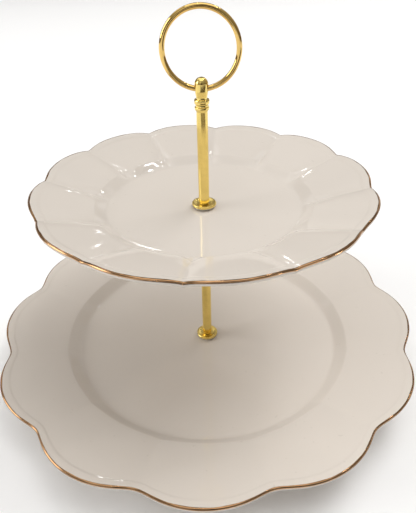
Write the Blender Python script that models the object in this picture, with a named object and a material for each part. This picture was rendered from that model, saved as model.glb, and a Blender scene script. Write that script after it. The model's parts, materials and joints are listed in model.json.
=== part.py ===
"""Two-tier cake stand: two scalloped china plates on a screwed metal post with a ring handle.

Sizes are in millimetres and become metres when a mesh is made. +Z is up, the origin is on the post's axis
where the lower plate's foot ring stands, and -Y is the front.
"""

import math

import bmesh
import bpy

MM = 0.001
GAP = 0.3  # clearance that touching pieces keep

# Driving dimensions
LOBES = 12
SCALLOP_RADIUS = 48.0  # radius of each lobe's arc, the same on both plates
FLOOR_HEIGHT = 9.0  # lower plate's floor above the table
TIER_RISE = 100.0  # from the lower floor to the upper floor
UPPER_PLATE_TURN = 10.7  # degrees that the upper plate is turned against the lower one
ROD_RADIUS = 3.0
NECK_RADIUS = 2.6
THREAD_RADIUS = 1.85
BORE_RADIUS = THREAD_RADIUS + GAP
PLATE_HOLE_RADIUS = 3.6
FLANGE_RADIUS = 6.9
FLANGE_HEIGHT = 1.6
FLANGE_FLOOR = 0.8
GASKET_RADIUS = 6.0
GASKET_THICKNESS = 0.7
SEAM_HEIGHT = 167.6  # top of the upper rod
KNOB_HEIGHT = 13.4
RING_HOLE_RISE = 7.7  # cross hole above the knob's lower end
WIRE_RADIUS = 1.4
RING_RADIUS = 18.7  # to the middle of the wire
RING_HOLE_RADIUS = WIRE_RADIUS + 0.45
RING_SAG = 0.15  # the wire's middle lies this far under the hole's axis

PLATE_STEPS = 72
SMALL_STEPS = 24
RING_STEPS = 48

LOWER = {
    "tip": 133.0,
    "notch_softness": 2.6,
    "floor": 84.6,
    "dish": 2.0,
    "shoulder": 92.4,
    "wall": 6.6,
    "slope": 0.241,
    "crease": 0.25,
    "well_thickness": 3.8,
    "rim_thickness": 3.0,
    "foot": 80.0,
}
UPPER = {
    "tip": 95.0,
    "notch_softness": 1.0,
    "floor": 55.3,
    "dish": 2.0,
    "shoulder": 61.9,
    "wall": 4.6,
    "slope": 0.296,
    "crease": 0.7,
    "well_thickness": 3.4,
    "rim_thickness": 2.8,
    "foot": 51.5,
}
FOOT_WIDTH = 1.8
LOWER_FOOT_DEPTH = FLOOR_HEIGHT
UPPER_FOOT_DEPTH = 7.4

# Colours: base colour, metallic, roughness
CHINA = ((0.86, 0.83, 0.80), 0.0, 0.12)
GOLD = ((0.83, 0.60, 0.20), 1.0, 0.22)
STEEL = ((0.62, 0.61, 0.58), 1.0, 0.35)
SOFT = ((0.75, 0.74, 0.70), 0.0, 0.60)


def clear_scene():
    for item in list(bpy.data.objects):
        bpy.data.objects.remove(item)


def material(name, look):
    colour, metallic, roughness = look
    mat = bpy.data.materials.new(name)
    mat.use_nodes = True
    shader = mat.node_tree.nodes["Principled BSDF"]
    shader.inputs["Base Color"].default_value = (*colour, 1.0)
    shader.inputs["Metallic"].default_value = metallic
    shader.inputs["Roughness"].default_value = roughness
    return mat


def finish_object(name, bm, look, height=0.0, turn=0.0):
    """Close the mesh up, shade it and place it with its origin on its own axis."""
    bmesh.ops.remove_doubles(bm, verts=bm.verts, dist=1e-7)
    bmesh.ops.recalc_face_normals(bm, faces=bm.faces)
    mesh = bpy.data.meshes.new(name)
    bm.to_mesh(mesh)
    bm.free()
    mesh.shade_smooth()
    mesh.set_sharp_from_angle(angle=math.radians(35))
    mesh.materials.append(material(name, look))
    piece = bpy.data.objects.new(name, mesh)
    bpy.context.collection.objects.link(piece)
    piece.location.z = height * MM
    piece.rotation_euler.z = math.radians(turn)
    return piece


def turned(outline, steps, closed):
    """Spin an outline of (radius, height) points about Z. An open outline starts and ends on the axis."""
    bm = bmesh.new()
    points = [bm.verts.new((r * MM, 0.0, z * MM)) for r, z in outline]
    edges = [bm.edges.new(pair) for pair in zip(points, points[1:])]
    if closed:
        edges.append(bm.edges.new((points[-1], points[0])))
    bmesh.ops.spin(
        bm, geom=points + edges, cent=(0, 0, 0), axis=(0, 0, 1),
        angle=math.tau, steps=steps, use_merge=True,
    )
    return bm


def turned_piece(name, outline, look, height, steps=SMALL_STEPS, closed=True):
    return finish_object(name, turned(outline, steps, closed), look, height)


def washer(name, radius, thickness, look, height, hole=BORE_RADIUS):
    """A flat ring whose outer corners are slightly broken."""
    corner = 0.2
    outline = [
        (hole, 0.0),
        (radius - corner, 0.0),
        (radius, corner),
        (radius, thickness - corner),
        (radius - corner, thickness),
        (hole, thickness),
    ]
    return turned_piece(name, outline, look, height)


# Plates ---------------------------------------------------------------------------------------------


def lobe_phase(angle):
    """The angle from the nearest lobe tip, and from the tip after it, both positive."""
    pitch = math.tau / LOBES
    off = abs((angle + pitch / 2) % pitch - pitch / 2)
    return off, pitch - off


def arc_reach(off, tip):
    """How far a lobe's arc reaches from the plate's centre, at an angle from that lobe's tip."""
    centre = tip - SCALLOP_RADIUS
    side = centre * math.sin(off)
    return centre * math.cos(off) + math.sqrt(max(SCALLOP_RADIUS**2 - side**2, 0.0))


def rim_radius(angle, plate):
    """Outer radius: the greater of two neighbouring arcs, with the notch between them rounded."""
    near, far = (arc_reach(off, plate["tip"]) for off in lobe_phase(angle))
    soft = plate["notch_softness"]
    return near + soft * math.log1p(math.exp((far - near) / soft))


def crease_depth(angle, share, plate):
    """How far the panel surface sinks towards the crease that runs out to each notch."""
    off, _ = lobe_phase(angle)
    towards_notch = off / (math.pi / LOBES)
    return plate["crease"] * share * towards_notch**2.5


def plate_outline(plate, foot_depth):
    """Half section: (radius, height) from the hole over the top, round the edge and back underneath."""
    floor, shoulder, tip = plate["floor"], plate["shoulder"], plate["tip"]
    wall_top = plate["dish"] + plate["wall"]
    edge_height = wall_top + plate["slope"] * (tip - shoulder)
    well, rim = plate["well_thickness"], plate["rim_thickness"]
    foot_outer = plate["foot"]
    foot_inner = foot_outer - FOOT_WIDTH
    span = tip - shoulder
    top = [
        (PLATE_HOLE_RADIUS, 0.0),
        (floor * 0.55, plate["dish"] * 0.10),
        (floor * 0.85, plate["dish"] * 0.50),
        (floor, plate["dish"]),
        ((floor + shoulder) / 2, plate["dish"] + plate["wall"] * 0.47),
        (shoulder, wall_top),
        (shoulder + span * 0.5, wall_top + plate["slope"] * span * 0.5),
        (tip - 0.9, edge_height),
        (tip, edge_height - 0.9),
    ]
    bottom = [
        (tip - 0.4, edge_height - 2.2),
        (shoulder + span * 0.5, wall_top + plate["slope"] * span * 0.5 - rim),
        (shoulder, wall_top - rim * 1.3),
        (foot_outer + 1.6, -well + plate["dish"] - 0.4),
        (foot_outer, -foot_depth),
        (foot_inner, -foot_depth),
        (foot_inner - 1.6, -well + plate["dish"] * 0.6),
        (floor * 0.55, -well + plate["dish"] * 0.10),
        (PLATE_HOLE_RADIUS, -well),
    ]
    return top + bottom


def china_plate(name, plate, foot_depth, height, turn=0.0):
    """A turned plate whose rim is then drawn in to the lobes' outline and creased out to the notches."""
    bm = turned(plate_outline(plate, foot_depth), PLATE_STEPS, closed=True)
    shoulder, tip = plate["shoulder"], plate["tip"]
    wall_start = plate["floor"]
    for vert in bm.verts:
        radius = math.hypot(vert.co.x, vert.co.y) / MM
        angle = math.atan2(vert.co.y, vert.co.x)
        if radius <= wall_start + 0.01:
            continue
        share = min((radius - wall_start) / (shoulder - wall_start), 1.0)
        out = max((radius - shoulder) / (tip - shoulder), 0.0)
        drawn = shoulder + out * (rim_radius(angle, plate) - shoulder) if out > 0 else radius
        vert.co.x *= drawn / radius
        vert.co.y *= drawn / radius
        drop = plate["slope"] * (radius - drawn) + crease_depth(angle, share, plate)
        vert.co.z -= drop * MM
    return finish_object(name, bm, CHINA, height, turn)


# Post -----------------------------------------------------------------------------------------------


def dished_flange(name, height, upside_down=False):
    """A shallow cup with a rounded lip. The rod's neck stands in it."""
    lip = 1.3
    outline = [
        (BORE_RADIUS, 0.0),
        (FLANGE_RADIUS - 0.5, 0.0),
        (FLANGE_RADIUS, 0.5),
        (FLANGE_RADIUS, FLANGE_HEIGHT - 0.4),
        (FLANGE_RADIUS - 0.4, FLANGE_HEIGHT),
        (FLANGE_RADIUS - lip + 0.2, FLANGE_HEIGHT),
        (FLANGE_RADIUS - lip - 0.3, FLANGE_FLOOR),
        (BORE_RADIUS, FLANGE_FLOOR),
    ]
    if upside_down:
        outline = [(r, FLANGE_HEIGHT - z) for r, z in outline]
    return turned_piece(name, outline, GOLD, height)


def rod_foot(bore_depth):
    """The lower end of a rod: blind bore from the axis, then the neck and the rounded step to full size."""
    return [
        (0.0, bore_depth),
        (BORE_RADIUS, bore_depth),
        (BORE_RADIUS, 0.0),
        (NECK_RADIUS, 0.0),
        (NECK_RADIUS, 0.9),
        (ROD_RADIUS - 0.15, 1.1),
        (ROD_RADIUS, 1.5),
    ]


def plain_rod(name, height, length, bore_depth):
    """A rod with the same neck and bore at both ends."""
    foot = rod_foot(bore_depth)
    head = [(r, length - z) for r, z in reversed(foot)]
    return turned_piece(name, foot + head, GOLD, height, closed=False)


def beaded_rod(name, height, length, bore_depth):
    """The upper rod: its top swells into a bead, with a groove between it and the knob's collar."""
    bead = [
        (ROD_RADIUS, length - 3.1),
        (3.6, length - 2.3),
        (3.75, length - 1.9),
        (3.75, length - 1.2),
        (3.6, length - 0.9),
        (3.3, length - 0.7),
        (3.3, length),
        (BORE_RADIUS, length),
        (BORE_RADIUS, length - bore_depth),
        (0.0, length - bore_depth),
    ]
    return turned_piece(name, rod_foot(bore_depth) + bead, GOLD, height, closed=False)


def threaded_stud(name, height, length):
    """A headless stud with chamfered ends."""
    chamfer = 0.4
    outline = [
        (0.0, 0.0),
        (THREAD_RADIUS - chamfer, 0.0),
        (THREAD_RADIUS, chamfer),
        (THREAD_RADIUS, length - chamfer),
        (THREAD_RADIUS - chamfer, length),
        (0.0, length),
    ]
    return turned_piece(name, outline, STEEL, height, closed=False)


def cutter(name, bm, height):
    """A tool body that only serves a Boolean."""
    tool = finish_object(name, bm, STEEL, height)
    tool.hide_render = True
    tool.display_type = "WIRE"
    return tool


def cut(piece, tool):
    modifier = piece.modifiers.new(tool.name, "BOOLEAN")
    modifier.operation = "DIFFERENCE"
    modifier.solver = "EXACT"
    modifier.object = tool


def slotted_screw(name, height, head_height, length):
    """A wide, low head under a plain shank that ends in a chamfer. A slot is cut across the head."""
    head_radius = 5.6
    outline = [
        (0.0, 0.0),
        (head_radius - 1.6, 0.0),
        (head_radius - 0.5, 0.5),
        (head_radius, 1.2),
        (head_radius, head_height),
        (THREAD_RADIUS, head_height),
        (THREAD_RADIUS, length - 0.5),
        (THREAD_RADIUS - 0.5, length),
        (0.0, length),
    ]
    screw = turned_piece(name, outline, STEEL, height, closed=False)
    slot = bmesh.new()
    bmesh.ops.create_cube(slot, size=1.0)
    bmesh.ops.scale(slot, vec=(14.0 * MM, 1.1 * MM, 1.8 * MM), verts=slot.verts)
    cut(screw, cutter("screw_slot_cutter", slot, height))
    return screw


def cross_drilled_knob(name, height):
    """Collar, tapering body and domed top in one piece, bored from below and cross-drilled for the ring."""
    collar, waist, body = 3.85, 2.8, 3.5
    dome_base = KNOB_HEIGHT - body
    dome = [
        (body * math.cos(a), dome_base + body * math.sin(a))
        for a in (math.radians(18 * i) for i in range(5))
    ]
    bore_depth = 4.6
    outline = [
        (0.0, bore_depth),
        (BORE_RADIUS, bore_depth),
        (BORE_RADIUS, 0.0),
        (3.5, 0.0),
        (collar, 0.3),
        (collar, 1.3),
        (collar + 0.15, 1.9),
        (3.5, 2.5),
        (waist, 2.6),
        (waist + 0.1, 3.6),
        (body - 0.1, 6.4),
        *dome,
        (0.0, KNOB_HEIGHT),
    ]
    knob = turned_piece(name, outline, GOLD, height, closed=False)
    hole = bmesh.new()
    bmesh.ops.create_cone(
        hole, cap_ends=True, segments=SMALL_STEPS,
        radius1=RING_HOLE_RADIUS * MM, radius2=RING_HOLE_RADIUS * MM, depth=12.0 * MM,
    )
    for vert in hole.verts:
        vert.co.x, vert.co.z = vert.co.z, -vert.co.x
    cut(knob, cutter("ring_hole_cutter", hole, height + RING_HOLE_RISE))
    return knob


def wire_ring(name, hinge_height):
    """The ring stands over the cross hole. Its origin is on the hole's axis, where it swings."""
    bm = bmesh.new()
    sides = 10
    section = []
    for i in range(sides):
        a = math.tau * i / sides
        radius = RING_RADIUS + WIRE_RADIUS * math.cos(a)
        section.append(bm.verts.new((radius * MM, WIRE_RADIUS * math.sin(a) * MM, 0.0)))
    loop = [bm.edges.new((section[i], section[(i + 1) % sides])) for i in range(sides)]
    bmesh.ops.spin(
        bm, geom=section + loop, cent=(0, 0, 0), axis=(0, 1, 0),
        angle=math.tau, steps=RING_STEPS, use_merge=True,
    )
    for vert in bm.verts:
        vert.co.z += (RING_RADIUS - RING_SAG) * MM
    return finish_object(name, bm, GOLD, hinge_height)


# Assembly -------------------------------------------------------------------------------------------


def base_fastening():
    """Soft washer, metal washer and screw, stacked downwards from the lower plate's underside."""
    gasket_thickness, washer_thickness, head_height = 0.9, 0.8, 1.9
    gasket = FLOOR_HEIGHT - LOWER["well_thickness"] - GAP - gasket_thickness
    metal = gasket - GAP - washer_thickness
    head = metal - GAP - head_height
    washer("base_gasket", 9.0, gasket_thickness, SOFT, gasket)
    washer("base_washer", 8.0, washer_thickness, STEEL, metal)
    slotted_screw("base_screw", head, head_height, 21.5)


def post_foot(floor_height, prefix):
    """Soft washer and dished flange on a plate's floor. Returns the height where the rod stands."""
    gasket = floor_height + GAP
    flange = gasket + GASKET_THICKNESS + GAP
    washer(prefix + "_gasket", GASKET_RADIUS, GASKET_THICKNESS, SOFT, gasket)
    dished_flange(prefix + "_flange", flange)
    return flange + FLANGE_FLOOR + GAP


def plate_support(underside):
    """Soft washer and upturned flange under the upper plate. Returns the height of the rod's top."""
    gasket = underside - GAP - GASKET_THICKNESS
    flange = gasket - GAP - FLANGE_HEIGHT
    washer("support_gasket", GASKET_RADIUS, GASKET_THICKNESS, SOFT, gasket)
    dished_flange("support_flange", flange, upside_down=True)
    return flange + FLANGE_HEIGHT - FLANGE_FLOOR - GAP


def build():
    clear_scene()
    upper_floor = FLOOR_HEIGHT + TIER_RISE
    upper_underside = upper_floor - UPPER["well_thickness"]
    china_plate("lower_plate", LOWER, LOWER_FOOT_DEPTH, FLOOR_HEIGHT)
    china_plate("upper_plate", UPPER, UPPER_FOOT_DEPTH, upper_floor, UPPER_PLATE_TURN)
    base_fastening()

    lower_rod_foot = post_foot(FLOOR_HEIGHT, "lower")
    lower_rod_top = plate_support(upper_underside)
    bore_depth = 14.0
    plain_rod("lower_rod", lower_rod_foot, lower_rod_top - lower_rod_foot, bore_depth)

    upper_rod_foot = post_foot(upper_floor, "upper")
    beaded_rod("upper_rod", upper_rod_foot, SEAM_HEIGHT - upper_rod_foot, bore_depth)
    stud_foot = lower_rod_top - bore_depth + 1.0
    stud_top = upper_rod_foot + bore_depth - 1.0
    threaded_stud("joining_stud", stud_foot, stud_top - stud_foot)

    knob_foot = SEAM_HEIGHT + GAP
    top_stud_foot = SEAM_HEIGHT - 10.0
    threaded_stud("top_stud", top_stud_foot, knob_foot + 4.2 - top_stud_foot)
    cross_drilled_knob("ring_knob", knob_foot)
    wire_ring("handle_ring", knob_foot + RING_HOLE_RISE)


build()
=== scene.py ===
"""Two-tier cake stand: the finished surfaces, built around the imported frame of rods, plates and ring.

Run as a script it makes every piece, the studio and the camera. All sizes are in metres.
"""

import json
import math

import bmesh
import bpy
import numpy as np
from bpy.props import FloatProperty, FloatVectorProperty, PointerProperty
from bpy.types import Operator, Panel, PropertyGroup
from mathutils import Euler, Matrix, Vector


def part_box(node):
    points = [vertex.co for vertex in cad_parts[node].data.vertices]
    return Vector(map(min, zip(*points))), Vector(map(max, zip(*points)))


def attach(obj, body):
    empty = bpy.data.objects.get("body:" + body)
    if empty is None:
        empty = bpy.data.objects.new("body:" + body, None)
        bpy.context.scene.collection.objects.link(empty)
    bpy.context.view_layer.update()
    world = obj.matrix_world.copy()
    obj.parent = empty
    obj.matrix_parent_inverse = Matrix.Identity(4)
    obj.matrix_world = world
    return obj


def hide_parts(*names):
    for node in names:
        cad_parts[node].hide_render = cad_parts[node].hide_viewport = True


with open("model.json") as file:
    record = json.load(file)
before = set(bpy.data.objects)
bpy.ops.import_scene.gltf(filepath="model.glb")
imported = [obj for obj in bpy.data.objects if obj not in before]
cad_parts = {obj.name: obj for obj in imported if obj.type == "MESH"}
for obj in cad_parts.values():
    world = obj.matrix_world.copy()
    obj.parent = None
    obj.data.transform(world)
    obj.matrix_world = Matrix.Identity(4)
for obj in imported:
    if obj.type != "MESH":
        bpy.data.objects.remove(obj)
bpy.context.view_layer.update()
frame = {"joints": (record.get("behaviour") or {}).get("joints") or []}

bl_info = {
    "name": "Cake Stand Maker",
    "version": (1, 0, 0),
    "blender": (4, 5, 0),
    "location": "3D View > Sidebar > Cake Stand",
    "description": "Makes the china, gilding and metalwork of a two-tier cake stand",
    "category": "Add Mesh",
}

MM = 0.001
GAP = 0.3 * MM  # clearance that the frame keeps between touching pieces
LOBES = 12  # on each plate


def low(node):
    """The lowest corner of a node's box."""
    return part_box(node)[0]


def high(node):
    """The highest corner of a node's box."""
    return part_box(node)[1]


LOWER_FLOOR = low("lower_gasket").z - GAP  # height of the lower plate's floor at its hole
UPPER_FLOOR = low("upper_gasket").z - GAP
ROD_RADIUS = high("lower_rod").x
THREAD_RADIUS = high("joining_stud").x
BORE_RADIUS = THREAD_RADIUS + GAP


# Settings -------------------------------------------------------------------------------------------


def length(name, description, default):
    return FloatProperty(
        name=name, description=description, default=default, min=0.0, precision=5, unit="LENGTH"
    )


def ratio(name, description, default, top=1.0):
    return FloatProperty(
        name=name, description=description, default=default, min=0.0, max=top, subtype="FACTOR"
    )


def angle(name, description, degrees):
    return FloatProperty(
        name=name, description=description, default=math.radians(degrees), subtype="ANGLE"
    )


def colour(name, description, default):
    return FloatVectorProperty(
        name=name, description=description, default=default, size=3, min=0.0, max=1.0, subtype="COLOR"
    )


class CAKESTAND_PG_lower_plate(PropertyGroup):
    """Sizes of the dinner plate that carries the stand."""

    tip: length("Lobe reach", "Radius to the tip of a lobe", high("lower_plate").x)
    notch: length("Notch softness", "How far the notch between two lobes is rounded", 2.6 * MM)
    floor: length("Floor", "Radius where the flat of the well ends", 84.6 * MM)
    dish: length("Dish", "How far the floor rises from its middle to its edge", 2.0 * MM)
    shoulder: length("Shoulder", "Radius where the well's wall turns into the rim", 92.4 * MM)
    wall: length("Wall", "Height of the well's wall", 6.6 * MM)
    slope: ratio("Rim slope", "Rise of the rim over its run", 0.241)
    crease: length("Crease", "Depth of the crease that runs out to each notch", 0.35 * MM)
    cusp: length("Cusp", "How far the shoulder points out into each crease", 0.6 * MM)
    well: length("Well thickness", "Thickness of the china at the middle", 3.8 * MM)
    rim: length("Rim thickness", "Thickness of the china on the rim", 3.0 * MM)
    foot: length("Foot", "Outer radius of the foot ring", 80.0 * MM)
    gilt: length("Gilding", "Width of the gold line inside the edge", 0.6 * MM)
    turn: angle("Turn", "How far the plate is turned about the post", 0.0)


class CAKESTAND_PG_upper_plate(PropertyGroup):
    """Sizes of the dessert plate on the upper tier."""

    tip: length("Lobe reach", "Radius to the tip of a lobe", 95.0 * MM)
    notch: length("Notch softness", "How far the notch between two lobes is rounded", 1.0 * MM)
    floor: length("Floor", "Radius where the flat of the well ends", 55.3 * MM)
    dish: length("Dish", "How far the floor rises from its middle to its edge", 2.0 * MM)
    shoulder: length("Shoulder", "Radius where the well's wall turns into the rim", 61.9 * MM)
    wall: length("Wall", "Height of the well's wall", 4.6 * MM)
    slope: ratio("Rim slope", "Rise of the rim over its run", 0.296)
    crease: length("Crease", "Depth of the crease that runs out to each notch", 1.4 * MM)
    cusp: length("Cusp", "How far the shoulder points out into each crease", 2.8 * MM)
    well: length("Well thickness", "Thickness of the china at the middle", 3.4 * MM)
    rim: length("Rim thickness", "Thickness of the china on the rim", 2.8 * MM)
    foot: length("Foot", "Outer radius of the foot ring", 51.5 * MM)
    gilt: length("Gilding", "Width of the gold line inside the edge", 0.55 * MM)
    turn: angle("Turn", "How far the plate is turned about the post", 10.7)


class CAKESTAND_PG_finishes(PropertyGroup):
    """Colours and polish of the stand's materials."""

    glaze: colour("Glaze", "Colour of the glazed china", (0.71, 0.652, 0.588))
    biscuit: colour("Biscuit", "Colour of the unglazed foot", (0.70, 0.64, 0.56))
    glaze_roughness: ratio("Glaze roughness", "Roughness of the fired glaze", 0.055)
    gold: colour("Gold", "Colour of the gold plate", (0.97, 0.74, 0.235))
    ring_gold: colour("Ring gold", "Colour of the ring's deeper gold", (0.90, 0.62, 0.21))
    gilt: colour("Gilt", "Colour of the burnished gold line", (0.47, 0.275, 0.14))
    gold_roughness: ratio("Gold roughness", "Roughness of the polished gold plate", 0.15)
    zinc: colour("Zinc", "Colour of the plated steel fittings", (0.58, 0.58, 0.56))
    soft: colour("Soft washer", "Colour of the soft washers", (0.66, 0.64, 0.58))


class CAKESTAND_PG_studio(PropertyGroup):
    """Camera and light."""

    lens: FloatProperty(
        name="Lens", description="Focal length", default=34.0, min=1.0, subtype="DISTANCE_CAMERA"
    )
    camera: FloatVectorProperty(
        name="Camera", description="Where the camera stands", size=3, unit="LENGTH",
        default=(0.0063, -0.2485, 0.2416),
    )
    pitch: angle("Pitch", "How far the camera looks down", 34.0)
    heading: angle("Heading", "How far the camera is turned from the front", 1.09)
    roll: angle("Roll", "How far the camera is tipped over", -1.16)
    paper: colour("Paper", "Colour of the floor", (0.97, 0.97, 0.97))
    cloth: colour("Cloth", "Colour of the dark cloth that the metal mirrors", (0.05, 0.034, 0.02))
    power: FloatProperty(
        name="Power", description="Strength that the softboxes share out",
        default=67.0, min=0.0, unit="POWER",
    )
    lamps: FloatProperty(
        name="Lamps", description="Power of a ceiling lamp for each square metre", default=100.0, min=0.0
    )
    sky: FloatProperty(
        name="Sky", description="Strength of the light from all round", default=0.34, min=0.0
    )


# Outlines -------------------------------------------------------------------------------------------


def filleted(points, step=math.radians(15)):
    """Turn (radius, height, fillet) corners into a line whose corners are arcs."""
    line = []
    for i, (r, z, fillet) in enumerate(points):
        here = Vector((r, z))
        if fillet <= 0.0 or i in (0, len(points) - 1):
            line.append(here)
            continue
        back = (Vector(points[i - 1][:2]) - here).normalized()
        on = (Vector(points[i + 1][:2]) - here).normalized()
        half = back.angle(on) / 2
        if half > math.radians(89.5):
            line.append(here)
            continue
        reach = fillet / math.tan(half)
        centre = here + (back + on).normalized() * (fillet / math.sin(half))
        first, last = here + back * reach - centre, here + on * reach - centre
        turn = math.pi - 2 * half
        count = max(2, math.ceil(turn / step))
        for k in range(count + 1):
            share = k / count
            blend = (
                first * math.sin((1 - share) * turn) + last * math.sin(share * turn)
            ) / math.sin(turn)
            line.append(centre + blend)
    return [(p.x, p.y) for p in line]


def divided(line, step):
    """Add points to a line so that no stretch is longer than step."""
    out = [line[0]]
    for (r0, z0), (r1, z1) in zip(line, line[1:]):
        count = max(1, math.ceil(math.hypot(r1 - r0, z1 - z0) / step))
        out += [(r0 + (r1 - r0) * k / count, z0 + (z1 - z0) * k / count) for k in range(1, count + 1)]
    return out


# Meshes ---------------------------------------------------------------------------------------------


SHARP_ANGLE = math.radians(40)  # edges that bend more than this stay crisp
WELD_DISTANCE = 1e-7


def mesh_object(name, bm, finish):
    """Turn a mesh in the making into a shaded piece with its finish."""
    bmesh.ops.remove_doubles(bm, verts=bm.verts, dist=WELD_DISTANCE)
    bmesh.ops.recalc_face_normals(bm, faces=bm.faces)
    mesh = bpy.data.meshes.new(name)
    bm.to_mesh(mesh)
    bm.free()
    mesh.shade_smooth()
    mesh.set_sharp_from_angle(angle=SHARP_ANGLE)
    mesh.materials.append(finish)
    piece = bpy.data.objects.new(name, mesh)
    bpy.context.scene.collection.objects.link(piece)
    return piece


def spun(outline, steps, closed=True, lift=0.0):
    """Spin a line of (radius, height) points about Z. An open line starts and ends on the axis."""
    bm = bmesh.new()
    points = [bm.verts.new((r, 0.0, z + lift)) for r, z in outline]
    edges = [bm.edges.new(pair) for pair in zip(points, points[1:])]
    if closed:
        edges.append(bm.edges.new((points[-1], points[0])))
    bmesh.ops.spin(
        bm, geom=points + edges, cent=(0, 0, 0), axis=(0, 0, 1),
        angle=math.tau, steps=steps, use_merge=True,
    )
    return bm


def fit_out(piece, body, nodes):
    """Let the piece move with its body and stand for its plain nodes."""
    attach(piece, body)
    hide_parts(*nodes)
    return piece


# Plates ---------------------------------------------------------------------------------------------


STEPS_PER_LOBE = 30
SECTION_STEP = 2.6 * MM  # longest stretch between two points of a plate's section
SCALLOP_RADIUS = 48.0 * MM  # of a lobe's round edge
HOLE_RADIUS = 3.6 * MM
HOLE_CHAMFER = 0.6 * MM
LIP_WIDTH = 4.6 * MM
LIP_RISE = 0.25 * MM
LIP_RAMP = 1.2 * MM  # run over which the rim rises to the lip
FOOT_WIDTH = 1.8 * MM
FOOT_FILLET = 0.45 * MM
CREASE_SHARPNESS = 4.6  # power by which a crease gathers towards its notch
CUSP_SHARPNESS = 4.0
CUSP_REACH = 14 * MM  # run over which a cusp fades out on the rim
GILDING_SKIN = 0.06 * MM  # thickness of the gilding, which lies outside the china
WAVERS = (  # waves round the plate, depth, phase
    (17, 0.09 * MM, 0.4),
    (41, 0.07 * MM, 2.1),
    (73, 0.05 * MM, 0.0),
)


def off_lobe(angles):
    """The angle from the nearest lobe tip, and from the tip after it."""
    pitch = math.tau / LOBES
    off = np.abs((angles + pitch / 2) % pitch - pitch / 2)
    return off, pitch - off


def arc_reach(off, tip):
    """How far out a lobe's round edge lies, at an angle off its tip."""
    centre = tip - SCALLOP_RADIUS
    return centre * np.cos(off) + np.sqrt(np.maximum(SCALLOP_RADIUS**2 - (centre * np.sin(off)) ** 2, 0.0))


def rim_radius(angles, plate):
    """Outer radius: the greater of two neighbouring arcs, with the notch between them rounded."""
    near, far = (arc_reach(off, plate.tip) for off in off_lobe(angles))
    return near + plate.notch * np.log1p(np.exp((far - near) / plate.notch))


def edge_height(plate):
    """Height of the lip's edge over the plate's middle. The lip stands a bit proud of the rim's slope."""
    return plate.dish + plate.wall + plate.slope * (plate.tip - plate.shoulder) + LIP_RISE


def lip_height(plate, radius):
    """Height of the lip's own slope, or of its line carried inwards, at a radius."""
    return edge_height(plate) - plate.slope * (plate.tip - radius)


def plate_section(plate, foot_depth):
    """Half section of a plate from its hole over the top, round the lip and back underneath."""
    edge = edge_height(plate)
    wall_top = plate.dish + plate.wall
    underside = plate.dish - plate.well
    floor = [
        (r, plate.dish * (r / plate.floor) ** 4, 0.0)
        for r in np.linspace(HOLE_RADIUS + HOLE_CHAMFER, plate.floor - 7 * MM, 12)
    ]
    lip = plate.tip - LIP_WIDTH
    ramp = lip - LIP_RAMP
    rim_middle = (plate.shoulder + plate.tip) / 2
    corners = [
        (HOLE_RADIUS, -0.5 * MM, 0.0),
        *floor,
        (plate.floor + 0.3 * MM, plate.dish, 4.0 * MM),  # the well's wall, from its foot to its top
        (plate.shoulder - 0.3 * MM, wall_top, 2.2 * MM),
        (ramp, lip_height(plate, ramp) - LIP_RISE, 3.0 * MM),
        (lip, lip_height(plate, lip), 3.0 * MM),
        (plate.tip - GILDING_SKIN, edge, 0.9 * MM),  # the lip's outer corner, then its lower one
        (plate.tip - 0.35 * MM, edge - 2.9 * MM, 1.0 * MM),
        (rim_middle, lip_height(plate, rim_middle) - plate.rim, 20 * MM),
        (plate.shoulder + 1 * MM, wall_top - plate.rim * 1.2, 8 * MM),
        (plate.foot + 1.4 * MM, underside - 0.6 * MM, 1.2 * MM),  # down the foot ring and up inside it
        (plate.foot, -foot_depth, FOOT_FILLET),
        (plate.foot - FOOT_WIDTH, -foot_depth, FOOT_FILLET),
        (plate.foot - FOOT_WIDTH - 1.6 * MM, underside * 1.05, 1.5 * MM),
        (plate.floor * 0.55, -plate.well + plate.dish * 0.1, 0.0),
        (HOLE_RADIUS, -plate.well, 0.0),
    ]
    return divided(filleted(corners), SECTION_STEP)


def eased(share):
    """A share from 0 to 1 that sets off and arrives gently."""
    return share * share * (3 - 2 * share)


def shape_rim(piece, plate):
    """Draw a turned rim in to the lobes' outline, crease it out to the notches and turn it to its place."""
    mesh = piece.data
    points = np.empty(len(mesh.vertices) * 3, np.float32)
    mesh.vertices.foreach_get("co", points)
    points = points.reshape(-1, 3).astype(float)
    radius = np.hypot(points[:, 0], points[:, 1])
    angles = np.arctan2(points[:, 1], points[:, 0])
    out = np.clip((radius - plate.shoulder) / (plate.tip - plate.shoulder), 0.0, None)
    drawn = np.where(out > 0, radius + out * (rim_radius(angles, plate) - plate.tip), radius)
    rise = eased(np.clip((radius - plate.floor) / (plate.shoulder - plate.floor), 0.0, 1.0))
    to_notch = off_lobe(angles)[0] / (math.pi / LOBES)
    drop = plate.slope * (radius - drawn) + plate.crease * rise * to_notch**CREASE_SHARPNESS
    fade = eased(np.clip(1 - (radius - plate.shoulder) / CUSP_REACH, 0.0, 1.0))
    drawn = drawn + plate.cusp * to_notch**CUSP_SHARPNESS * rise * fade
    points[:, :2] *= (drawn / radius)[:, None]
    points[:, 2] -= drop
    cos, sin = math.cos(plate.turn), math.sin(plate.turn)
    points[:, :2] = points[:, :2] @ np.array([[cos, sin], [-sin, cos]])
    mesh.vertices.foreach_set("co", points.astype(np.float32).ravel())
    mesh.update()


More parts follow.
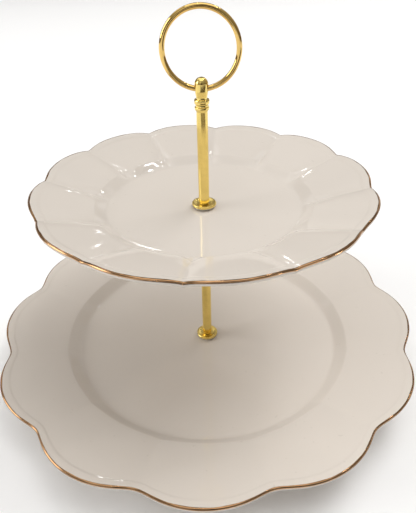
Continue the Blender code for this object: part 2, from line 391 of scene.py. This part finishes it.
def gilding_section(plate):
    """A thin band over the lip: out along the top, round the outer corner, and back inside the china."""
    edge = edge_height(plate)
    proud, sunk = 0.03 * MM, 0.2 * MM
    start = plate.tip - 0.5 * MM - plate.gilt
    feather = start + 0.1 * MM
    last = plate.tip - 0.05 * MM
    outer = filleted([
        (start, lip_height(plate, start), 0.0),
        (feather, lip_height(plate, feather) + proud, 0.0),
        (plate.tip, edge + proud, 0.93 * MM),
        (last, edge - 0.85 * MM, 0.0),
    ], math.radians(9))
    inner = filleted([
        (last - sunk, edge - 0.8 * MM, 0.0),
        (plate.tip - sunk, edge - sunk, 0.75 * MM),
        (start, lip_height(plate, start) - sunk, 0.0),
    ])
    return outer + inner


def waver(piece, plate):
    """Let the gold line's inner border waver, as it does under a brush held by hand."""
    border = plate.tip - 0.95 * MM
    for vert in piece.data.vertices:
        radius = math.hypot(vert.co.x, vert.co.y)
        if radius < border:
            turn = math.atan2(vert.co.y, vert.co.x)
            shift = sum(depth * math.sin(waves * turn + phase) for waves, depth, phase in WAVERS)
            vert.co.x *= 1 + shift / radius
            vert.co.y *= 1 + shift / radius
            vert.co.z += plate.slope * shift


def make_plate(context, body, finish_name, floor_height):
    """Make a plate's glazed china, in place of the frame's plain one, and the gold line on its lip."""
    plate = getattr(context.scene, "cake_stand_" + body)
    finishes = context.scene.cake_stand_finishes
    steps = LOBES * STEPS_PER_LOBE
    foot_height = low(body).z
    section = plate_section(plate, floor_height - foot_height)
    glaze = glazed_china(finishes, finish_name, foot_height)
    china = mesh_object(body + "_glazed", spun(section, steps, lift=floor_height), glaze)
    shape_rim(china, plate)
    line = spun(gilding_section(plate), steps, lift=floor_height)
    band = mesh_object(body + "_gilding", line, burnished_gilt(finishes))
    waver(band, plate)
    shape_rim(band, plate)
    fit_out(china, body, [body])
    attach(band, body)


# Materials ------------------------------------------------------------------------------------------


def new_material(name):
    """A new material, its shader and a function that adds nodes. One made before comes back alone."""
    finish = bpy.data.materials.get(name)
    if finish:
        return finish, None, None
    finish = bpy.data.materials.new(name)
    finish.use_nodes = True
    tree = finish.node_tree

    def add(kind, inputs=None, **settings):
        node = tree.nodes.new(kind)
        for key, value in settings.items():
            setattr(node, key, value)
        for key, value in (inputs or {}).items():
            if isinstance(value, bpy.types.NodeSocket):
                tree.links.new(value, node.inputs[key])
            else:
                node.inputs[key].default_value = value
        return node

    return finish, tree.nodes["Principled BSDF"], add


def rgba(values, factor=1.0):
    return (*(min(v * factor, 1.0) for v in values), 1.0)


def stretched_noise(add, scale, stretch=(1, 1, 1), detail=3.0, roughness=0.5):
    """Noise in the piece's own space, drawn out along an axis by its stretch."""
    place = add("ShaderNodeTexCoord").outputs["Object"]
    mapped = add("ShaderNodeMapping", {"Vector": place, "Scale": stretch}).outputs["Vector"]
    return add(
        "ShaderNodeTexNoise",
        {"Vector": mapped, "Scale": scale, "Detail": detail, "Roughness": roughness},
    ).outputs["Fac"]


def spread(add, value, low_value, high_value, start=0.3, end=0.7):
    """Stretch the part of a value between start and end over a new range."""
    return add(
        "ShaderNodeMapRange",
        {"Value": value, "From Min": start, "From Max": end, "To Min": low_value, "To Max": high_value},
    ).outputs["Result"]


def mixed(add, share, first, second):
    """A share of the second colour in the first. They go into the node's sockets 6 and 7."""
    inputs = {"Factor": share, 6: first, 7: second}
    return add("ShaderNodeMix", inputs, data_type="RGBA").outputs[2]


def relief(add, shader, height, strength, distance):
    """Let a height roughen the surface as a bump of that depth."""
    bump = add("ShaderNodeBump", {"Height": height, "Strength": strength, "Distance": distance})
    shader.id_data.links.new(bump.outputs["Normal"], shader.inputs["Normal"])


def glazed_china(finishes, name, foot_height):
    """Warm white glaze with a faint pooling of tone and a slow ripple. The foot's land is left unglazed."""
    finish, shader, add = new_material(name)
    if add is None:
        return finish
    tree = finish.node_tree
    cloud = stretched_noise(add, 14.0, detail=2.0)
    thin, pooled = rgba(finishes.glaze, 0.985), rgba(finishes.glaze, 1.012)
    tone = mixed(add, spread(add, cloud, 0.0, 1.0), thin, pooled)
    speck = stretched_noise(add, 420.0, detail=1.0)
    fleck = spread(add, speck, 0.0, 0.35, 0.74, 0.80)
    tone = mixed(add, fleck, tone, rgba(finishes.biscuit, 0.8))
    place = add("ShaderNodeTexCoord").outputs["Object"]
    height = add("ShaderNodeSeparateXYZ", {"Vector": place}).outputs["Z"]
    bare = spread(add, height, 1.0, 0.0, foot_height + 0.2 * MM, foot_height + 0.45 * MM)
    grain = stretched_noise(add, 900.0, detail=4.0)
    bisque = mixed(add, spread(add, grain, 0.0, 1.0), rgba(finishes.biscuit, 0.9), rgba(finishes.biscuit))
    tree.links.new(mixed(add, bare, tone, bisque), shader.inputs["Base Color"])
    gloss = spread(add, cloud, finishes.glaze_roughness * 0.8, finishes.glaze_roughness * 1.25)
    rough = spread(add, bare, gloss, 0.75, 0.0, 1.0)
    tree.links.new(rough, shader.inputs["Roughness"])
    shader.inputs["IOR"].default_value = 1.52
    ripple = stretched_noise(add, 60.0, detail=2.0)
    relief(add, shader, ripple, 0.12, 0.15 * MM)
    return finish


def gold_plate(finishes, name, brushing, roughness_share=1.0, tone=None):
    """Polished gold plate with a little tarnish, and brushing of so many lines a metre along each axis."""
    gold = tone or finishes.gold
    finish, shader, add = new_material(name)
    if add is None:
        return finish
    tree = finish.node_tree
    lines = stretched_noise(add, 1.0, brushing, detail=5.0, roughness=0.65)
    tarnish = stretched_noise(add, 160.0, detail=4.0)
    mottle = mixed(add, spread(add, tarnish, 0.0, 1.0), rgba(gold, 0.86), rgba(gold, 1.04))
    tree.links.new(mottle, shader.inputs["Base Color"])
    shader.inputs["Metallic"].default_value = 1.0
    polish = finishes.gold_roughness * roughness_share
    tree.links.new(spread(add, lines, polish * 0.7, polish * 1.5), shader.inputs["Roughness"])
    relief(add, shader, lines, 0.25, 0.03 * MM)
    return finish


def burnished_gilt(finishes):
    """Fired gold on the lip, brushed on by hand, so its tone and polish wander along the edge."""
    finish, shader, add = new_material("burnished_gilt")
    if add is None:
        return finish
    tree = finish.node_tree
    stroke = stretched_noise(add, 90.0, detail=4.0)
    tone = mixed(add, spread(add, stroke, 0.0, 1.0), rgba(finishes.gilt, 0.75), rgba(finishes.gilt, 1.25))
    tree.links.new(tone, shader.inputs["Base Color"])
    shader.inputs["Metallic"].default_value = 1.0
    tree.links.new(spread(add, stroke, 0.08, 0.17), shader.inputs["Roughness"])
    relief(add, shader, stroke, 0.15, 0.05 * MM)
    return finish


def zinc_plate(finishes):
    """Satin zinc with faint turning marks."""
    finish, shader, add = new_material("zinc_plate")
    if add is None:
        return finish
    tree = finish.node_tree
    marks = stretched_noise(add, 1.0, (300, 300, 2500), detail=4.0)
    tone = mixed(add, spread(add, marks, 0.0, 1.0), rgba(finishes.zinc, 0.8), rgba(finishes.zinc, 1.1))
    tree.links.new(tone, shader.inputs["Base Color"])
    shader.inputs["Metallic"].default_value = 1.0
    tree.links.new(spread(add, marks, 0.28, 0.45), shader.inputs["Roughness"])
    relief(add, shader, marks, 0.2, 0.04 * MM)
    return finish


def moulded_washer(finishes):
    """Pale soft washer material with a fine grain."""
    finish, shader, add = new_material("moulded_washer")
    if add is None:
        return finish
    tree = finish.node_tree
    grain = stretched_noise(add, 1400.0, detail=3.0)
    tone = mixed(add, spread(add, grain, 0.0, 1.0), rgba(finishes.soft, 0.93), rgba(finishes.soft, 1.04))
    tree.links.new(tone, shader.inputs["Base Color"])
    tree.links.new(spread(add, grain, 0.42, 0.58), shader.inputs["Roughness"])
    relief(add, shader, grain, 0.2, 0.03 * MM)
    return finish


# Metalwork ------------------------------------------------------------------------------------------

ROUND_STEPS = 72
FLANGE_FLOOR = 0.8 * MM
WASHER_FILLET = 0.2 * MM
ROD_BORE_DEPTH = 14.0 * MM
ROD_STEP = 6 * MM  # longest stretch between two rings of points round a rod
WIRE_RADIUS = 1.4 * MM  # of the ring, whose plain form has flat sides and a slightly thinner box
THREAD_PITCH = 0.7 * MM
THREAD_DEPTH = 0.22 * MM
THREAD_RUNOUT = 0.5 * MM  # length over which a thread fades at an end
END_TAPER = 0.35 * MM  # how much thinner a shank is at its ends


def flange_section(width, height):
    """A shallow cup with a rounded lip and a flat floor round its bore."""
    lip, hollow = 1.1 * MM, 1.6 * MM
    return filleted([
        (BORE_RADIUS, 0.0, 0.0),
        (width, 0.0, 0.5 * MM),
        (width, height, 0.5 * MM),
        (width - lip, height, 0.45 * MM),
        (width - lip - hollow, FLANGE_FLOOR, hollow),
        (BORE_RADIUS, FLANGE_FLOOR, 0.0),
    ], math.radians(10))


def make_flange(context, node, upside_down=False):
    foot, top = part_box(node)
    height = top.z - foot.z
    outline = flange_section(top.x, height)
    if upside_down:
        outline = [(r, height - z) for r, z in outline]
    finish = gold_plate(context.scene.cake_stand_finishes, "gold_turned", (500, 500, 500), 1.9)
    piece = mesh_object(node + "_polished", spun(outline, ROUND_STEPS, lift=foot.z), finish)
    return fit_out(piece, "post", [node])


def make_washer(node, suffix, finish):
    foot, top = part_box(node)
    height = top.z - foot.z
    outline = filleted([
        (BORE_RADIUS, 0.0, 0.0),
        (top.x, 0.0, WASHER_FILLET),
        (top.x, height, WASHER_FILLET),
        (BORE_RADIUS, height, 0.0),
    ])
    piece = mesh_object(node + suffix, spun(outline, ROUND_STEPS, lift=foot.z), finish)
    return fit_out(piece, "post", [node])


def rod_foot():
    """The lower end of a rod: blind bore from the axis, then the neck and the rounded step to full size."""
    neck = 2.6 * MM
    return [
        (0.0, ROD_BORE_DEPTH, 0.0),
        (BORE_RADIUS, ROD_BORE_DEPTH, 0.0),
        (BORE_RADIUS, 0.0, 0.0),
        (neck, 0.0, 0.1 * MM),
        (neck, 0.95 * MM, 0.1 * MM),
        (ROD_RADIUS, 1.05 * MM, 0.45 * MM),
    ]


def rod_end(rise):
    """The upper end of a plain rod, which is its foot turned over."""
    return [(r, rise - z, fillet) for r, z, fillet in reversed(rod_foot())]


def bead_head(rise):
    """The upper end of the beaded rod: taper, bead, groove and blind bore."""
    bead = high("upper_rod").x
    groove = 3.25 * MM
    return [
        (ROD_RADIUS, rise - 3.3 * MM, 0.6 * MM),
        (bead - 0.1 * MM, rise - 2.3 * MM, 0.3 * MM),
        (bead, rise - 1.9 * MM, 0.3 * MM),
        (bead, rise - 0.95 * MM, 0.35 * MM),
        (groove, rise - 0.75 * MM, 0.1 * MM),
        (groove, rise, 0.0),
        (BORE_RADIUS, rise, 0.0),
        (BORE_RADIUS, rise - ROD_BORE_DEPTH, 0.0),
        (0.0, rise - ROD_BORE_DEPTH, 0.0),
    ]


def make_rod(context, node, head):
    foot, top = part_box(node)
    outline = divided(filleted(rod_foot() + head(top.z - foot.z)), ROD_STEP)
    finish = gold_plate(context.scene.cake_stand_finishes, "gold_brushed", (2600, 2600, 45))
    piece = mesh_object(node + "_polished", spun(outline, ROUND_STEPS, closed=False, lift=foot.z), finish)
    return fit_out(piece, "post", [node])


def carve(piece, tool, operation):
    """Cut the tool's shape out of the piece, or join it on, and leave a plain mesh."""
    modifier = piece.modifiers.new("carve", "BOOLEAN")
    modifier.operation = operation
    modifier.solver = "EXACT"
    modifier.object = tool
    graph = bpy.context.evaluated_depsgraph_get()
    graph.update()
    result = bpy.data.meshes.new_from_object(piece.evaluated_get(graph))
    piece.modifiers.clear()
    piece.data = result
    result.set_sharp_from_angle(angle=SHARP_ANGLE)
    bpy.data.objects.remove(tool)


def knob_section(rise, collar, body):
    """Half section of the knob: blind bore, collar, waist, and the body under its dome."""
    bore_depth = 4.6 * MM
    waist = 2.8 * MM
    dome = [
        (body * math.cos(a), rise - body + body * math.sin(a), 0.0)
        for a in np.linspace(0, math.pi / 2, 14)[:-1]
    ]
    return filleted([
        (0.0, bore_depth, 0.0),
        (BORE_RADIUS, bore_depth, 0.0),
        (BORE_RADIUS, 0.0, 0.0),
        (3.55 * MM, 0.0, 0.25 * MM),
        (collar - 0.15 * MM, 0.5 * MM, 0.3 * MM),
        (collar - 0.15 * MM, 1.2 * MM, 0.3 * MM),
        (collar, 1.9 * MM, 0.3 * MM),
        (collar - 0.25 * MM, 2.5 * MM, 0.25 * MM),
        (waist, 2.55 * MM, 0.2 * MM),
        (waist + 0.05 * MM, 3.5 * MM, 0.6 * MM),
        (body - 0.08 * MM, 6.6 * MM, 2.0 * MM),
        *dome,
        (0.0, rise, 0.0),
    ])


def hole_tool(body):
    """A round bar along X, flared at the knob's sides and wider beyond them."""
    radius = WIRE_RADIUS + 0.45 * MM
    half = [
        (radius, body - 0.5 * MM),
        (radius + 0.35 * MM, body),
        (radius + 3 * MM, 6 * MM),
        (0.0, 6 * MM),
    ]
    bm = spun([(r, -z) for r, z in reversed(half)] + half, 48, closed=False)
    for vert in bm.verts:
        vert.co = Vector((vert.co.z, vert.co.y, -vert.co.x))
    return bm


def make_knob(context):
    foot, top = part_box("ring_knob")
    body = 3.5 * MM
    outline = knob_section(top.z - foot.z, top.x, body)
    finish = gold_plate(context.scene.cake_stand_finishes, "gold_knob", (900, 900, 500), 1.1)
    knob = mesh_object("ring_knob_polished", spun(outline, ROUND_STEPS, closed=False, lift=foot.z), finish)
    hinge = next(joint for joint in frame["joints"] if joint["name"] == "ring_swing")
    bm = hole_tool(body)
    bmesh.ops.translate(bm, vec=hinge["pos_m"], verts=bm.verts)
    carve(knob, mesh_object("ring_hole", bm, finish), "DIFFERENCE")
    return fit_out(knob, "knob", ["ring_knob"])


def make_ring(context):
    foot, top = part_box("handle_ring")
    centre = (foot.z + top.z) / 2
    ring_radius = top.x - WIRE_RADIUS
    sides, steps = 28, 180
    bm = bmesh.new()
    section = []
    for i in range(sides):
        a = math.tau * i / sides
        reach = ring_radius + WIRE_RADIUS * math.cos(a)
        section.append(bm.verts.new((reach, WIRE_RADIUS * math.sin(a), 0.0)))
    loop = [bm.edges.new((section[i], section[(i + 1) % sides])) for i in range(sides)]
    bmesh.ops.spin(
        bm, geom=section + loop, cent=(0, 0, 0), axis=(0, 1, 0),
        angle=math.tau, steps=steps, use_merge=True,
    )
    for vert in bm.verts:
        vert.co.z += centre
    finishes = context.scene.cake_stand_finishes
    finish = gold_plate(finishes, "gold_ring", (700, 2500, 700), 0.3, finishes.ring_gold)
    ring = mesh_object("handle_ring_polished", bm, finish)
    return fit_out(ring, "ring", ["handle_ring"])


def threaded_shank(foot, top):
    """A shank whose surface rises and falls with a screw thread, closed at both ends."""
    sides, rows_per_turn = 32, 7
    margin = 0.001 * MM  # keeps the end rows off the full taper
    count = math.ceil((top - foot) / THREAD_PITCH * rows_per_turn)
    bm = bmesh.new()
    rings = []
    for k in range(count + 1):
        z = foot + (top - foot) * k / count
        to_end = min(z - foot, top - z) + margin
        taper = END_TAPER * (1 - min(1.0, to_end / THREAD_RUNOUT))
        ring = []
        for i in range(sides):
            phase = (z / THREAD_PITCH - i / sides) % 1.0
            tooth = abs(2 * phase - 1)
            r = THREAD_RADIUS - THREAD_DEPTH * (1 - tooth) - taper
            a = math.tau * i / sides
            ring.append(bm.verts.new((r * math.cos(a), r * math.sin(a), z)))
        rings.append(ring)
    for lower, upper in zip(rings, rings[1:]):
        for i in range(sides):
            j = (i + 1) % sides
            bm.faces.new((lower[i], lower[j], upper[j], upper[i]))
    bm.faces.new(list(reversed(rings[0])))
    bm.faces.new(rings[-1])
    return bm


def make_stud(context, node):
    foot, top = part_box(node)
    finish = zinc_plate(context.scene.cake_stand_finishes)
    piece = mesh_object(node + "_threaded", threaded_shank(foot.z, top.z), finish)
    return fit_out(piece, "post", [node])


def make_base_screw(context):
    foot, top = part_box("base_screw")
    head_height, head_radius = 1.9 * MM, top.x
    overlap = 0.2 * MM
    slot_width, slot_depth = 1.1 * MM, 0.9 * MM
    finish = zinc_plate(context.scene.cake_stand_finishes)
    shank = threaded_shank(foot.z + head_height - overlap, top.z)
    screw = mesh_object("base_screw_turned", shank, finish)
    outline = filleted([
        (0.0, 0.0, 0.0),
        (head_radius - 1.5 * MM, 0.05 * MM, 1.0 * MM),
        (head_radius, 1.1 * MM, 0.5 * MM),
        (head_radius, head_height, 0.15 * MM),
        (0.0, head_height, 0.0),
    ])
    head = mesh_object("screw_head", spun(outline, ROUND_STEPS, closed=False, lift=foot.z), finish)
    carve(screw, head, "UNION")
    bm = bmesh.new()
    bmesh.ops.create_cube(bm, size=1.0)
    bmesh.ops.scale(bm, vec=(2.5 * head_radius, slot_width, 2 * slot_depth), verts=bm.verts)
    bmesh.ops.translate(bm, vec=(0, 0, foot.z), verts=bm.verts)
    carve(screw, mesh_object("slot_tool", bm, finish), "DIFFERENCE")
    return fit_out(screw, "post", ["base_screw"])


# Studio ---------------------------------------------------------------------------------------------


FLOOR_REACH = 8.0  # from the stand to the paper's edge
BACKDROP_RADIUS = 7.5
BACKDROP_HEIGHT = 9.0
BACKDROP_SUNK = 0.5  # how far the wall goes down behind the paper
LIGHT_DISTANCE = 4.0
STAND_MIDDLE = Vector((0.0, 0.0, 0.08))
SOFTBOXES = {  # heading and height in degrees, size in metres, share of the power
    "window": (45, 48, 2.0, 0.53),
    "side_window": (5, 64, 2.2, 0.52),
    "ceiling": (0, 89, 3.8, 0.74),
    "left_wall": (185, 22, 2.2, 0.95),
    "front_wall": (250, 35, 2.0, 0.08),
    "back_wall": (135, 48, 2.0, 0.13),
    "doorway": (60, 20, 2.0, 0.10),
}
UNMIRRORED = ("window", "side_window")  # lights that polished surfaces don't show
LAMPS = (  # heading and height in degrees, size in metres
    (94.3, 15.2, 0.045),
    (95, 20.5, 0.045),
    (25, 61.5, 0.17),
    (45, 59, 0.14),
    (50, 47, 0.15),
    (100, 72, 0.12),
)
CLOTHS = {  # width and depth, where the middle lies, how far it is tipped up
    "studio_flag": ((1.2, 0.5), (0.42, -0.45, 2 * MM), 0.0),
    "studio_screen": ((0.2, 0.27), (0.01, -0.45, 0.285), math.pi / 2),
}
HORIZON = (0.46, 0.37, 0.28, 1.0)
OVERHEAD = (1.0, 0.985, 0.965, 1.0)


def make_floor(studio):
    """A wide sheet of paper under the stand."""
    bm = bmesh.new()
    bmesh.ops.create_grid(bm, x_segments=8, y_segments=8, size=FLOOR_REACH)
    finish, shader, add = new_material("studio_paper")
    tooth = stretched_noise(add, 300.0)
    tone = mixed(add, tooth, rgba(studio.paper, 0.985), rgba(studio.paper))
    finish.node_tree.links.new(tone, shader.inputs["Base Color"])
    shader.inputs["Roughness"].default_value = 0.9
    mesh_object("studio_floor", bm, finish)


def make_backdrop(studio):
    """A pale wall round the studio, far behind the lights. Only the camera sees it."""
    bm = bmesh.new()
    bmesh.ops.create_cone(
        bm, segments=96, radius1=BACKDROP_RADIUS, radius2=BACKDROP_RADIUS, depth=BACKDROP_HEIGHT
    )
    bmesh.ops.translate(bm, vec=(0, 0, BACKDROP_HEIGHT / 2 - BACKDROP_SUNK), verts=bm.verts)
    finish, shader, add = new_material("studio_wall")
    tooth = stretched_noise(add, 2.0, detail=2.0)
    tone = mixed(add, tooth, rgba(studio.paper, 0.95), rgba(studio.paper))
    finish.node_tree.links.new(tone, shader.inputs["Base Color"])
    finish.node_tree.links.new(tone, shader.inputs["Emission Color"])
    shader.inputs["Emission Strength"].default_value = 0.45
    shader.inputs["Roughness"].default_value = 0.9
    wall = mesh_object("studio_backdrop", bm, finish)
    wall.visible_diffuse = False
    wall.visible_glossy = False
    wall.visible_shadow = False


def make_light(name, heading, height, size, power):
    """Hang a square light round the stand. Its heading and height are in degrees, as seen from it."""
    data = bpy.data.lights.new(name, "AREA")
    data.size = size
    data.energy = power
    lamp = bpy.data.objects.new(name, data)
    turn, rise = math.radians(heading), math.radians(height)
    way = Vector((math.cos(turn) * math.cos(rise), math.sin(turn) * math.cos(rise), math.sin(rise)))
    lamp.location = STAND_MIDDLE + way * LIGHT_DISTANCE
    lamp.visible_glossy = name not in UNMIRRORED
    lamp.rotation_mode = "QUATERNION"
    lamp.rotation_quaternion = way.to_track_quat("Z", "Y")
    bpy.context.scene.collection.objects.link(lamp)


def make_cloth(name, finish, size, place, tilt):
    """Set up a dark cloth in front of the stand. Only polished surfaces see it, to give metal its depth."""
    bm = bmesh.new()
    bmesh.ops.create_grid(bm, x_segments=4, y_segments=4, size=0.5)
    bmesh.ops.scale(bm, vec=(*size, 1.0), verts=bm.verts)
    bmesh.ops.rotate(bm, matrix=Euler((tilt, 0.0, 0.0)).to_matrix(), verts=bm.verts)
    bmesh.ops.translate(bm, vec=place, verts=bm.verts)
    cloth = mesh_object(name, bm, finish)
    cloth.visible_camera = False
    cloth.visible_diffuse = False
    cloth.visible_shadow = False


def dark_cloth(studio):
    """Nearly black woven cloth."""
    finish, shader, add = new_material("studio_cloth")
    weave = stretched_noise(add, 60.0, detail=2.0)
    tone = mixed(add, weave, rgba(studio.cloth, 0.8), rgba(studio.cloth, 1.2))
    finish.node_tree.links.new(tone, shader.inputs["Base Color"])
    shader.inputs["Roughness"].default_value = 0.95
    return finish


def make_sky(strength):
    """Even light from all round, brighter overhead than near the horizon."""
    world = bpy.data.worlds.new("studio_sky")
    bpy.context.scene.world = world
    world.use_nodes = True
    tree = world.node_tree
    back = tree.nodes["Background"]
    place = tree.nodes.new("ShaderNodeTexCoord")
    split = tree.nodes.new("ShaderNodeSeparateXYZ")
    ramp = tree.nodes.new("ShaderNodeValToRGB")
    tree.links.new(place.outputs["Generated"], split.inputs["Vector"])
    tree.links.new(split.outputs["Z"], ramp.inputs["Fac"])
    tree.links.new(ramp.outputs["Color"], back.inputs["Color"])
    horizon, overhead = ramp.color_ramp.elements
    horizon.color = HORIZON
    overhead.position = 0.8
    overhead.color = OVERHEAD
    back.inputs["Strength"].default_value = strength


def make_camera(studio):
    """Stand the camera in front of the stand, tipped down at it."""
    data = bpy.data.cameras.new("studio_camera")
    data.sensor_width = 36.0
    data.lens = studio.lens
    data.clip_start = 0.01
    camera = bpy.data.objects.new("studio_camera", data)
    aim = Euler((0.0, 0.0, studio.heading)).to_matrix()
    tip = Euler((math.pi / 2 - studio.pitch, 0.0, 0.0)).to_matrix()
    roll = Euler((0.0, 0.0, studio.roll)).to_matrix()
    camera.rotation_mode = "QUATERNION"
    camera.rotation_quaternion = (aim @ tip @ roll).to_quaternion()
    camera.location = studio.camera
    bpy.context.scene.collection.objects.link(camera)
    bpy.context.scene.camera = camera


# Operators ------------------------------------------------------------------------------------------


class CAKESTAND_OT_lower_plate(Operator):
    """Make the scalloped dinner plate with its gilded lip"""

    bl_idname = "cake_stand.lower_plate"
    bl_label = "Lower plate"

    def execute(self, context):
        make_plate(context, "lower_plate", "glazed_china", LOWER_FLOOR)
        return {"FINISHED"}


class CAKESTAND_OT_upper_plate(Operator):
    """Make the scalloped dessert plate with its gilded lip"""

    bl_idname = "cake_stand.upper_plate"
    bl_label = "Upper plate"

    def execute(self, context):
        make_plate(context, "upper_plate", "glazed_china_upper", UPPER_FLOOR)
        return {"FINISHED"}


class CAKESTAND_OT_flanges(Operator):
    """Make the dished flanges on both sides of the rods"""

    bl_idname = "cake_stand.flanges"
    bl_label = "Flanges"

    def execute(self, context):
        make_flange(context, "lower_flange")
        make_flange(context, "support_flange", upside_down=True)
        make_flange(context, "upper_flange")
        return {"FINISHED"}


class CAKESTAND_OT_washers(Operator):
    """Make the soft washers against the china and the metal washer under it"""

    bl_idname = "cake_stand.washers"
    bl_label = "Washers"

    def execute(self, context):
        finishes = context.scene.cake_stand_finishes
        for node in ("base_gasket", "lower_gasket", "support_gasket", "upper_gasket"):
            make_washer(node, "_moulded", moulded_washer(finishes))
        make_washer("base_washer", "_stamped", zinc_plate(finishes))
        return {"FINISHED"}


class CAKESTAND_OT_rods(Operator):
    """Make the plain lower rod and the beaded upper rod"""

    bl_idname = "cake_stand.rods"
    bl_label = "Rods"

    def execute(self, context):
        make_rod(context, "lower_rod", rod_end)
        make_rod(context, "upper_rod", bead_head)
        return {"FINISHED"}


class CAKESTAND_OT_studs(Operator):
    """Make the threaded studs inside the post"""

    bl_idname = "cake_stand.studs"
    bl_label = "Studs"

    def execute(self, context):
        make_stud(context, "joining_stud")
        make_stud(context, "top_stud")
        return {"FINISHED"}


class CAKESTAND_OT_base_screw(Operator):
    """Make the slotted screw under the lower plate"""

    bl_idname = "cake_stand.base_screw"
    bl_label = "Base screw"

    def execute(self, context):
        make_base_screw(context)
        return {"FINISHED"}


class CAKESTAND_OT_ring_knob(Operator):
    """Make the domed knob that the ring passes through"""

    bl_idname = "cake_stand.ring_knob"
    bl_label = "Ring knob"

    def execute(self, context):
        make_knob(context)
        return {"FINISHED"}


class CAKESTAND_OT_handle_ring(Operator):
    """Make the wire ring"""

    bl_idname = "cake_stand.handle_ring"
    bl_label = "Handle ring"

    def execute(self, context):
        make_ring(context)
        return {"FINISHED"}


class CAKESTAND_OT_stage(Operator):
    """Set up the camera, paper floor, backdrop, sky, lights and dark cloths"""

    bl_idname = "cake_stand.stage"
    bl_label = "Stage"

    def execute(self, context):
        studio = context.scene.cake_stand_studio
        make_camera(studio)
        make_floor(studio)
        make_backdrop(studio)
        make_sky(studio.sky)
        for name, (heading, height, size, share) in SOFTBOXES.items():
            make_light(name, heading, height, size, studio.power * share)
        for i, (heading, height, size) in enumerate(LAMPS):
            make_light(f"lamp_{i + 1}", heading, height, size, studio.lamps * size**2)
        cloth = dark_cloth(studio)
        for name, (size, place, tilt) in CLOTHS.items():
            make_cloth(name, cloth, size, place, tilt)
        context.scene.view_settings.view_transform = "Standard"
        return {"FINISHED"}


OPERATORS = (
    CAKESTAND_OT_stage,
    CAKESTAND_OT_lower_plate,
    CAKESTAND_OT_upper_plate,
    CAKESTAND_OT_flanges,
    CAKESTAND_OT_washers,
    CAKESTAND_OT_rods,
    CAKESTAND_OT_studs,
    CAKESTAND_OT_base_screw,
    CAKESTAND_OT_ring_knob,
    CAKESTAND_OT_handle_ring,
)


class CAKESTAND_PT_maker(Panel):
    """Lists the operators in the order they run, and the settings"""

    bl_idname = "CAKESTAND_PT_maker"
    bl_label = "Cake Stand"
    bl_space_type = "VIEW_3D"
    bl_region_type = "UI"
    bl_category = "Cake Stand"

    def draw(self, context):
        layout = self.layout
        for operator in OPERATORS:
            layout.operator(operator.bl_idname)
        for group in SETTINGS:
            box = layout.box()
            settings = getattr(context.scene, group)
            for prop in settings.bl_rna.properties:
                if prop.identifier not in ("rna_type", "name"):
                    box.prop(settings, prop.identifier)


SETTINGS = {
    "cake_stand_lower_plate": CAKESTAND_PG_lower_plate,
    "cake_stand_upper_plate": CAKESTAND_PG_upper_plate,
    "cake_stand_finishes": CAKESTAND_PG_finishes,
    "cake_stand_studio": CAKESTAND_PG_studio,
}


def register():
    for group, cls in SETTINGS.items():
        bpy.utils.register_class(cls)
        setattr(bpy.types.Scene, group, PointerProperty(type=cls))
    for cls in (*OPERATORS, CAKESTAND_PT_maker):
        bpy.utils.register_class(cls)


def unregister():
    for cls in (CAKESTAND_PT_maker, *reversed(OPERATORS)):
        bpy.utils.unregister_class(cls)
    for group, cls in SETTINGS.items():
        delattr(bpy.types.Scene, group)
        bpy.utils.unregister_class(cls)


def main():
    register()
    for operator in OPERATORS:
        family, name = operator.bl_idname.split(".")
        getattr(getattr(bpy.ops, family), name)()


if __name__ == "__main__":
    main()
